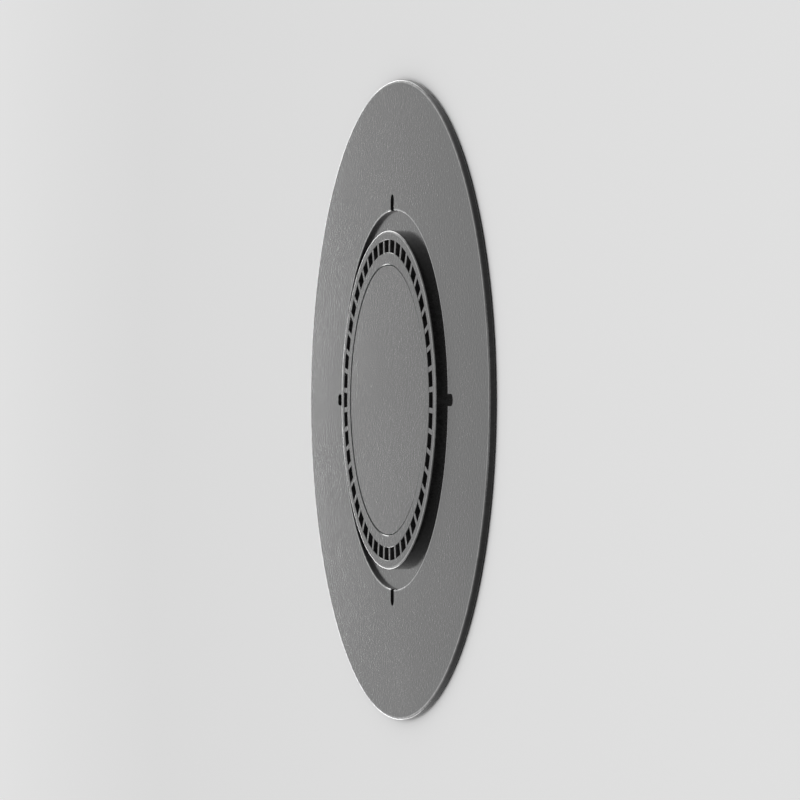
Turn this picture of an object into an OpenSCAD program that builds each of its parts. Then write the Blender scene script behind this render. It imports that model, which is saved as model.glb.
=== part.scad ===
// Adhesive magnetic phone patch.
// A thin moulded disc that is stuck to the back of a phone. In its middle stands a low hub
// with a ring of 48 teeth, and behind the hub's centre disc lie eight magnets and a steel keeper.
// The origin is the centre of the adhesive's back face, +Z is out of the phone and +Y is up on it.

/* [Face plate] */
// Outer diameter of the patch
patch_d = 63; // [56:0.5:74]
// Thickness of the plate's flat part
plate_t = 0.6; // [0.5:0.05:0.8]
// Radius of the plate's front edge
rim_round = 0.2; // [0.08:0.01:0.3]
// Chamfer of the plate's back edge
back_chamfer = 0.08; // [0.05:0.01:0.15]
// Width of the broken edges along grooves and channels
edge_break = 0.04; // [0.02:0.01:0.08]

/* [Adhesive] */
// Thickness of the double-sided foam tape
adhesive_t = 0.2; // [0.15:0.05:0.6]
// How far the tape's edge lies inside the plate's edge
adhesive_inset = 0.3; // [0.1:0.05:1]

/* [Hub] */
// Diameter of the raised hub
hub_d = 33.4; // [32:0.1:38]
// Radius of the hub's top edge
hub_round = 0.12; // [0.08:0.01:0.3]
// Width of the smooth ring outside the teeth
hub_rim_w = 0.9; // [0.7:0.05:1.4]
// Width of the smooth ring between the teeth and the centre disc
bezel_w = 1.2; // [0.95:0.05:1.5]
// Chamfer of that ring around the centre disc
bezel_chamfer = 0.08; // [0.04:0.01:0.15]

/* [Groove around the hub] */
// Width of the groove
groove_w = 2; // [1:0.05:2.6]
// Depth of the groove and of its index notches
groove_depth = 0.38; // [0.2:0.01:0.4]
// Number of index notches, the first at the top
notch_count = 4; // [2, 4, 8]
// Length of a notch, out from the groove
notch_l = 1.6; // [1.2:0.05:3]
// Width of a notch
notch_w = 1.15; // [0.6:0.05:1.4]

/* [Toothed ring] */
// Number of teeth
tooth_count = 48; // [36:4:56]
// Width of a tooth at its crest
tooth_crest_w = 0.5; // [0.3:0.05:0.7]
// How much wider each side of a tooth is at its root
tooth_flank = 0.08; // [0.04:0.01:0.12]
// Radial width of the channel that the teeth stand in
channel_w = 1.25; // [0.8:0.05:1.4]
// Depth of that channel
channel_depth = 0.55; // [0.4:0.05:0.6]
// How far the crests lie below the hub's top
tooth_drop = 0.02; // [0.01:0.01:0.08]

/* [Magnet carrier] */
// How far the centre disc lies below the hub's top
centre_drop = 0.05; // [0.02:0.01:0.15]
// Thickness of the centre disc over the magnets
centre_web = 0.33; // [0.25:0.01:0.6]
// Chamfer of the centre disc's edge
centre_chamfer = 0.05; // [0.03:0.01:0.1]
// How far the carrier's flange stands out behind the plate
flange_w = 0.65; // [0.4:0.05:0.75]
// Thickness of that flange
flange_t = 0.65; // [0.5:0.05:0.7]
// Wall between the keeper and the centre disc's edge
keeper_wall = 0.3; // [0.2:0.05:0.6]

/* [Magnets and keeper] */
// Diameter of a magnet
magnet_d = 6; // [4.5:0.1:6.6]
// Thickness of a magnet
magnet_t = 0.5; // [0.5:0.05:1]
// Chamfer of a magnet's edges
magnet_chamfer = 0.08; // [0.04:0.01:0.12]
// Wall of the carrier outside the magnets
magnet_edge = 0.45; // [0.3:0.05:1]
// Thickness of the steel keeper
keeper_t = 0.3; // [0.2:0.05:0.6]

/* [Clearances] */
// Radial gap between a piece and its seat
fit_gap = 0.05; // [0.03:0.01:0.08]
// Gap over each magnet, in its pocket
magnet_gap = 0.02; // [0.01:0.01:0.05]

/* [Hidden] */
magnet_count = 8;
MAGNETS = [for (i = [1:magnet_count]) str("magnet_", i)];
$fn = 96;
arc_steps = 6;
overlap = 0.1;

// Heights, from the phone's surface outwards
plate_z = adhesive_t;
face_z = plate_z + plate_t;
groove_z = face_z - groove_depth;
magnet_z = plate_z + keeper_t;
pocket_top_z = magnet_z + magnet_t + magnet_gap;
centre_z = pocket_top_z + centre_web;
hub_z = centre_z + centre_drop;
channel_z = hub_z - channel_depth;
crest_z = hub_z - tooth_drop;
ledge_z = plate_z + flange_t;

// Radii, from the rim inwards
plate_r = patch_d / 2;
adhesive_r = plate_r - adhesive_inset;
hub_r = hub_d / 2;
groove_r = hub_r + groove_w;
notch_r = groove_r + notch_l;
channel_outer_r = hub_r - hub_rim_w;
channel_inner_r = channel_outer_r - channel_w;
opening_r = channel_inner_r - bezel_w;
centre_r = opening_r - fit_gap;
flange_r = centre_r + flange_w;
seat_r = flange_r + fit_gap;
keeper_pocket_r = centre_r - keeper_wall;
keeper_r = keeper_pocket_r - fit_gap;
magnet_r = magnet_d / 2;
magnet_pocket_r = magnet_r + fit_gap;
magnet_pitch_r = centre_r - magnet_edge - magnet_pocket_r;

// Points along an arc around [x, z], from angle a to angle b
function arc(x, z, r, a, b) =
    [for (i = [0:arc_steps]) let (t = a + (b - a) * i / arc_steps) [x + r * cos(t), z + r * sin(t)]];

// Section of the plate and hub, from the back face round the rim to the seat of the carrier
function plate_section() = concat(
    [[seat_r, plate_z],
     [plate_r - back_chamfer, plate_z],
     [plate_r, plate_z + back_chamfer]],
    arc(plate_r - rim_round, face_z - rim_round, rim_round, 0, 90),
    [[groove_r + edge_break, face_z],
     [groove_r, face_z - edge_break],
     [groove_r, groove_z],
     [hub_r, groove_z]],
    arc(hub_r - hub_round, hub_z - hub_round, hub_round, 0, 90),
    [[channel_outer_r + edge_break, hub_z],
     [channel_outer_r, hub_z - edge_break],
     [channel_outer_r, channel_z],
     [channel_inner_r, channel_z],
     [channel_inner_r, hub_z - edge_break],
     [channel_inner_r - edge_break, hub_z],
     [opening_r + bezel_chamfer, hub_z],
     [opening_r, hub_z - bezel_chamfer],
     [opening_r, ledge_z],
     [seat_r, ledge_z]]);

// Section of the carrier without its magnet pockets
function carrier_section() = [
    [0, magnet_z],
    [keeper_pocket_r, magnet_z],
    [keeper_pocket_r, plate_z],
    [flange_r, plate_z],
    [flange_r, ledge_z],
    [centre_r, ledge_z],
    [centre_r, centre_z - centre_chamfer],
    [centre_r - centre_chamfer, centre_z],
    [0, centre_z]];

// One tooth across the channel, on the +X axis, sunk into the walls and the floor of the channel
module tooth() {
    root_half = tooth_crest_w / 2 + tooth_flank;
    translate([channel_inner_r - overlap, 0, 0])
        rotate([90, 0, 90])
            linear_extrude(channel_w + 2 * overlap)
                polygon([[-root_half, channel_z - overlap],
                         [root_half, channel_z - overlap],
                         [root_half, channel_z],
                         [tooth_crest_w / 2, crest_z],
                         [-tooth_crest_w / 2, crest_z],
                         [-root_half, channel_z]]);
}

// One index notch, on the +X axis, with a round outer end
module notch() {
    translate([hub_r + groove_w / 2, -notch_w / 2, groove_z])
        cube([notch_r - notch_w / 2 - hub_r - groove_w / 2, notch_w, groove_depth + overlap]);
    translate([notch_r - notch_w / 2, 0, groove_z])
        cylinder(d = notch_w, h = groove_depth + overlap);
}

module face_plate() {
    color([0.15, 0.15, 0.155])
        difference() {
            union() {
                rotate_extrude() polygon(plate_section());
                for (i = [0:tooth_count - 1])
                    rotate([0, 0, 90 + 360 * (i + 0.5) / tooth_count]) tooth();
            }
            for (i = [0:notch_count - 1])
                rotate([0, 0, 90 + 360 * i / notch_count]) notch();
        }
}

// Angle of a magnet: the index notches lie between two magnets
function magnet_angle(i) = 90 + 360 * (i + 0.5) / magnet_count;

module magnet_carrier() {
    color([0.17, 0.17, 0.175])
        difference() {
            rotate_extrude() polygon(carrier_section());
            for (i = [0:magnet_count - 1])
                rotate([0, 0, magnet_angle(i)])
                    translate([magnet_pitch_r, 0, magnet_z - overlap])
                        cylinder(r = magnet_pocket_r, h = pocket_top_z - magnet_z + overlap);
        }
}

module keeper_plate() {
    color([0.62, 0.63, 0.65])
        translate([0, 0, plate_z]) cylinder(r = keeper_r, h = keeper_t);
}

// Magnet number i, a plated disc with broken edges
module magnet(i) {
    color([0.78, 0.78, 0.76])
        rotate([0, 0, magnet_angle(i)])
            translate([magnet_pitch_r, 0, magnet_z])
                rotate_extrude()
                    polygon([[0, 0],
                             [magnet_r - magnet_chamfer, 0],
                             [magnet_r, magnet_chamfer],
                             [magnet_r, magnet_t - magnet_chamfer],
                             [magnet_r - magnet_chamfer, magnet_t],
                             [0, magnet_t]]);
}

module adhesive_disc() {
    color([0.05, 0.05, 0.05])
        cylinder(r = adhesive_r, h = adhesive_t);
}

adhesive_disc();
face_plate();
magnet_carrier();
keeper_plate();
for (i = [0:magnet_count - 1])
    magnet(i);
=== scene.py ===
import math

import bpy
from mathutils import Matrix, Vector


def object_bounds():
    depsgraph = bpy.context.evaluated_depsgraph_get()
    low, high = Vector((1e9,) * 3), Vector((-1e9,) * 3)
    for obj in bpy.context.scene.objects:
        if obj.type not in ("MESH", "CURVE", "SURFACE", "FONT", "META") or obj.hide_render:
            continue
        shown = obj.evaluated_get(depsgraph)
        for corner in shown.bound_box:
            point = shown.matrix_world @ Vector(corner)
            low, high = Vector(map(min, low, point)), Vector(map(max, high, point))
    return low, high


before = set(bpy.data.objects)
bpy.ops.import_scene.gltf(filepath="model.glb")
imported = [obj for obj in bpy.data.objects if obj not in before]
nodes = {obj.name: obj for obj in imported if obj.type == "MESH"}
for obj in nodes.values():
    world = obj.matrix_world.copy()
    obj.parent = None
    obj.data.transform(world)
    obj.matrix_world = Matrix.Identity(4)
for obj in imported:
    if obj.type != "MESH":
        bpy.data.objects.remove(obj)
cad_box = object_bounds()

MM = 0.001

# The view of the photograph: the camera stands to the right of the patch, level with its centre,
# and looks at its face almost along it. The patch's +Y is up in the picture.
OFF_AXIS = math.radians(73.72)  # angle between the camera's line and the patch's axis
DISTANCE = 350 * MM  # from the patch's centre to the camera
PHOTO_SIDE = 800  # pixels
PHOTO_FOCAL = 1012.6  # focal length in pixels of the photograph
PHOTO_X = 484.2  # pixel column of the patch's centre in the photograph
PHOTO_TURN = math.atan((PHOTO_X - PHOTO_SIDE / 2) / PHOTO_FOCAL)  # its camera aims beside the patch
CLOSER = 3.5  # how much narrower the view is than the photograph's, and 1 for its framing
SENSOR = 36  # millimetres
CLIP_START, CLIP_END = 0.01, 20  # metres


def add_camera():
    data = bpy.data.cameras.new("camera")
    camera = bpy.data.objects.new("camera", data)
    bpy.context.scene.collection.objects.link(camera)
    bpy.context.scene.camera = camera
    data.sensor_width = SENSOR
    data.lens = PHOTO_FOCAL * CLOSER * SENSOR / PHOTO_SIDE
    data.clip_start, data.clip_end = CLIP_START, CLIP_END

    away = Vector((math.sin(OFF_AXIS), 0, math.cos(OFF_AXIS)))
    right = Vector((math.cos(OFF_AXIS), 0, -math.sin(OFF_AXIS)))
    turn = PHOTO_TURN if CLOSER == 1 else 0
    forward = -away * math.cos(turn) - right * math.sin(turn)
    side = right * math.cos(turn) - away * math.sin(turn)
    up = Vector((0, 1, 0))
    pose = Matrix((side, up, -forward)).transposed().to_4x4()
    pose.translation = away * DISTANCE
    camera.matrix_world = pose


class Graph:
    """A node tree that is built with short calls."""

    def __init__(self, owner):
        owner.use_nodes = True
        self.tree = owner.node_tree
        self.tree.nodes.clear()

    def add(self, kind, inputs=None, **settings):
        made = self.tree.nodes.new(kind)
        for name, value in settings.items():
            setattr(made, name, value)
        for name, value in (inputs or {}).items():
            self.put(made.inputs[name], value)
        return made

    def put(self, socket, value):
        if isinstance(value, bpy.types.NodeSocket):
            self.tree.links.new(value, socket)
        else:
            socket.default_value = value

    def show(self, kind, surface):
        """Makes surface the tree's result, at an output node of that kind."""
        self.add(kind, {"Surface": surface})

    def blend(self, share, first, second):
        """A shader that turns from the first node's into the second's as share grows."""
        made = self.add("ShaderNodeMixShader", {0: share, 1: first.outputs[0], 2: second.outputs[0]})
        return made.outputs[0]

    def math(self, operation, a, b):
        return self.add("ShaderNodeMath", {0: a, 1: b}, operation=operation).outputs[0]

    def length(self, vector):
        return self.add("ShaderNodeVectorMath", {0: vector}, operation="LENGTH").outputs["Value"]

    def noise(self, where, size, detail=3, roughness=0.55):
        """Noise whose features are about size metres wide."""
        made = self.add("ShaderNodeTexNoise", {
            "Vector": where, "Scale": 1 / size, "Detail": detail, "Roughness": roughness})
        return made.outputs["Fac"]

    def between(self, value, low, high, start=0.0, end=1.0):
        """Value from start to end, mapped to low to high."""
        made = self.add("ShaderNodeMapRange", {
            "Value": value, "From Min": start, "From Max": end, "To Min": low, "To Max": high})
        return made.outputs["Result"]

    def shades(self, value, dark, light):
        """A colour between dark and light."""
        made = self.add("ShaderNodeMix", data_type="RGBA")
        for name, given in (("Factor", value), ("A", dark), ("B", light)):
            self.put(made.inputs[name], given)
        return made.outputs["Result"]

    def near_circle(self, where, radius, height, core, reach):
        """1 up to core metres from a circle around Z, falling to 0 at reach metres from it."""
        apart = self.add("ShaderNodeSeparateXYZ", {"Vector": where}).outputs
        flat = self.add("ShaderNodeCombineXYZ", {"X": apart["X"], "Y": apart["Y"]}).outputs["Vector"]
        offset = self.add("ShaderNodeCombineXYZ", {
            "X": self.math("SUBTRACT", self.length(flat), radius),
            "Y": self.math("SUBTRACT", apart["Z"], height)})
        return self.between(self.length(offset.outputs["Vector"]), 1.0, 0.0, core, reach)

    def bump(self, height, depth, **others):
        made = self.add("ShaderNodeBump", {"Height": height, "Distance": depth, **others})
        return made.outputs["Normal"]


def grey(level):
    return level, level, level, 1


def new_material(name):
    """A material, its graph and the coordinates in the patch's frame."""
    material = bpy.data.materials.new(name)
    graph = Graph(material)
    return material, graph, graph.add("ShaderNodeTexCoord").outputs["Object"]


def add_shader(graph, inputs):
    """The part's shader, with these inputs."""
    shader = graph.add("ShaderNodeBsdfPrincipled", inputs)
    graph.show("ShaderNodeOutputMaterial", shader.outputs["BSDF"])


# Black plastic
PLASTIC_IOR = 1.36
PIT, PEAK = grey(0.003), grey(0.013)  # the grain's darkest and lightest colour
FLOW_SIZE = 14 * MM
FLOW_DEPTH, FLOW_STRENGTH = 0.01 * MM, 0.5
FLOW_GLOSS = 0.04  # how far flow marks move the roughness
SPECK_SIZE = 0.9 * MM
SPECK_GLOSS = 0.05  # how far specks move the roughness
USUAL = (0.35, 0.65)  # most values of a noise lie between these

# Its edges, with a glossy coat and a painted highlight of lighter colour, around circles that lie a little
# behind and above them
PATCH_R, HUB_Z = cad_box[1][0], cad_box[1][2]
FACE_Z = 0.8 * MM  # height of the smooth flat ring
GROOVE_R, HUB_R = 18.7 * MM, 16.7 * MM
RIM_INSET, GROOVE_INSET, HUB_INSET = 0.16 * MM, 0.02 * MM, 0.08 * MM
LIFT = 0.02 * MM
EDGES = (  # radius and height
    (PATCH_R - RIM_INSET, FACE_Z + LIFT),
    (GROOVE_R + GROOVE_INSET, FACE_Z + LIFT),
    (HUB_R - HUB_INSET, HUB_Z + LIFT))
EDGE_CORE, EDGE_REACH = 0.05 * MM, 0.19 * MM
# Painted highlight: the lighter colour that the edges are given
PAINTED_HIGHLIGHT = grey(0.05)
HIGHLIGHT_LEAST = 0.6  # share of the painted highlight and the coat where they are weakest
POLISH_ROUGHNESS, POLISH_IOR = 0.12, 1.6


def moulded_plastic(name, roughness, grain_size, grain_depth):
    """Satin black plastic: spark-eroded grain, faint flow marks, uneven gloss, coated edges with a painted
    highlight.
    """
    material, graph, where = new_material(name)
    flow = graph.noise(where, FLOW_SIZE, detail=2)
    grain = graph.noise(where, grain_size, detail=3, roughness=0.6)
    specks = graph.noise(where, SPECK_SIZE, detail=4)

    mottle = graph.between(grain, 0.0, 1.0, *USUAL)
    tone = graph.math("MULTIPLY", graph.math("ADD", flow, mottle), 0.5)
    # Near the edges the colour is lightened as a painted highlight, and a glossy coat is laid on
    highlight_and_polish = 0.0
    for radius, height in EDGES:
        ring = graph.near_circle(where, radius, height, EDGE_CORE, EDGE_REACH)
        highlight_and_polish = graph.math("MAXIMUM", highlight_and_polish, ring)
    highlight_and_polish = graph.math("MULTIPLY", highlight_and_polish, graph.between(specks, HIGHLIGHT_LEAST, 1.0, *USUAL))

    uneven = graph.math(
        "ADD", graph.between(flow, -FLOW_GLOSS, FLOW_GLOSS), graph.between(specks, -SPECK_GLOSS, SPECK_GLOSS))
    waves = graph.bump(flow, FLOW_DEPTH, Strength=FLOW_STRENGTH)
    add_shader(graph, {
        "Base Color": graph.shades(highlight_and_polish, graph.shades(tone, PIT, PEAK), PAINTED_HIGHLIGHT),
        "Roughness": graph.math("ADD", uneven, roughness),
        "IOR": PLASTIC_IOR,
        "Coat Weight": highlight_and_polish,
        "Coat Roughness": POLISH_ROUGHNESS,
        "Coat IOR": POLISH_IOR,
        "Normal": graph.bump(grain, grain_depth, Normal=waves)})
    return material


# Black closed-cell foam
CELL_SIZE, CELL_DEPTH = 0.4 * MM, 0.08 * MM
CELL_ROUGHNESS = (0.6, 0.95)  # in the middle and at the wall of a cell
CLOUD_SIZE = 2.5 * MM
CLOUD_TONE = (0.5, 1.5)  # how much darker and lighter the clouds make the foam
FOAM_DARK, FOAM_LIGHT = grey(0.004), grey(0.045)


def foam_tape(name):
    """Acrylic foam with glue on both sides."""
    material, graph, where = new_material(name)
    cells = graph.add("ShaderNodeTexVoronoi", {"Vector": where, "Scale": 1 / CELL_SIZE})
    cell = cells.outputs["Distance"]
    cloud = graph.noise(where, CLOUD_SIZE, detail=4)
    tone = graph.math("MULTIPLY", cell, graph.between(cloud, *CLOUD_TONE))
    add_shader(graph, {
        "Base Color": graph.shades(tone, FOAM_DARK, FOAM_LIGHT),
        "Roughness": graph.between(cell, *CELL_ROUGHNESS),
        "Normal": graph.bump(cell, CELL_DEPTH)})
    return material


# Bright metal
MARK_SIZE, MARK_DEPTH = 0.4 * MM, 0.004 * MM
MARK_SMOOTHER, MARK_ROUGHER = 0.08, 0.1  # how far marks move the roughness
TINT_SIZE = 3 * MM


def plated_metal(name, dark, light, roughness, stretch):
    """Bright metal with fine marks, drawn out along X where stretch is above 1."""
    material, graph, where = new_material(name)
    drawn = graph.add("ShaderNodeMapping", {"Vector": where, "Scale": (1, stretch, 1)})
    marks = graph.noise(drawn.outputs["Vector"], MARK_SIZE, detail=5)
    add_shader(graph, {
        "Base Color": graph.shades(graph.noise(where, TINT_SIZE), dark, light),
        "Roughness": graph.between(marks, roughness - MARK_SMOOTHER, roughness + MARK_ROUGHER),
        "Metallic": 1.0,
        "Normal": graph.bump(marks, MARK_DEPTH)})
    return material


def dress(material, *names):
    """Puts the material on CAD nodes, in place of their plain one."""
    for name in names:
        slots = nodes[name].material_slots
        for slot in slots:
            slot.material = material
        if not slots:
            nodes[name].data.materials.append(material)


# Darkest and lightest colour
STEEL = ((0.42, 0.43, 0.44, 1), (0.54, 0.55, 0.56, 1))
NICKEL = ((0.60, 0.58, 0.53, 1), (0.68, 0.66, 0.61, 1))


def dress_part():
    plate = moulded_plastic("plate_plastic", roughness=0.12, grain_size=0.4 * MM, grain_depth=0.02 * MM)
    carrier = moulded_plastic("carrier_plastic", roughness=0.14, grain_size=0.36 * MM, grain_depth=0.018 * MM)
    keeper = plated_metal("keeper_steel", *STEEL, roughness=0.34, stretch=14)
    magnet = plated_metal("magnet_nickel", *NICKEL, roughness=0.2, stretch=1)
    dress(plate, "face_plate")
    dress(carrier, "magnet_carrier")
    dress(foam_tape("adhesive_foam"), "adhesive_disc")
    dress(keeper, "keeper_plate")
    dress(magnet, *(name for name in nodes if name.startswith("magnet_") and name != "magnet_carrier"))


FLOOR_HALF = 4.0  # metres
FLOOR_GREY = grey(0.775)
NEAR, FAR = 0.12, 0.6  # metres at which the floor starts to turn white, and at which it is white


def add_floor():
    mesh = bpy.data.meshes.new("floor")
    side = FLOOR_HALF
    corners = [(-side, -side, 0), (side, -side, 0), (side, side, 0), (-side, side, 0)]
    mesh.from_pydata(corners, [], [(0, 1, 2, 3)])
    floor = bpy.data.objects.new("floor", mesh)
    bpy.context.scene.collection.objects.link(floor)
    material, graph, where = new_material("floor")
    far = graph.between(graph.length(where), 0, 1, NEAR, FAR)
    lit = graph.add("ShaderNodeBsdfDiffuse", {"Color": FLOOR_GREY})
    white = graph.add("ShaderNodeEmission", {"Strength": 1.0})
    graph.show("ShaderNodeOutputMaterial", graph.blend(far, lit, white))
    mesh.materials.append(material)


AMBIENT = 0.65  # what the room gives to matt surfaces


def light_room():
    """A room that is white to the camera and to glossy surfaces, and dimmer to matt ones."""
    world = bpy.data.worlds.new("studio")
    bpy.context.scene.world = world
    graph = Graph(world)
    rays = graph.add("ShaderNodeLightPath").outputs
    seen = graph.math("MAXIMUM", rays["Is Camera Ray"], rays["Is Glossy Ray"])
    seen = graph.math("MAXIMUM", seen, rays["Is Transmission Ray"])
    room = graph.add("ShaderNodeBackground", {"Color": grey(1), "Strength": AMBIENT})
    white = graph.add("ShaderNodeBackground", {"Color": grey(1), "Strength": 1.0})
    graph.show("ShaderNodeOutputWorld", graph.blend(seen, room, white))


def add_softbox(name, place, width, height, power, on_matt=True):
    """A soft lamp at place that faces the patch's centre. Matt surfaces may be left out."""
    data = bpy.data.lights.new(name, "AREA")
    data.shape = "RECTANGLE"
    data.size, data.size_y = width, height
    data.energy = power
    lamp = bpy.data.objects.new(name, data)
    bpy.context.scene.collection.objects.link(lamp)
    lamp.location = place
    lamp.rotation_mode = "QUATERNION"
    lamp.rotation_quaternion = (-Vector(place)).to_track_quat("-Z", "Y")
    lamp.visible_camera = False
    lamp.visible_diffuse = on_matt


add_camera()
dress_part()
add_floor()
light_room()
add_softbox("key", place=(1.2, 0, 1.35), width=1.6, height=1.2, power=14.5)
# Only glossy surfaces mirror the low lamp, which makes the left of the face lighter
add_softbox("low", place=(-0.2, 0, 0.0155), width=0.5, height=0.031, power=0.17, on_matt=False)

bpy.context.scene.view_settings.view_transform = "Standard"
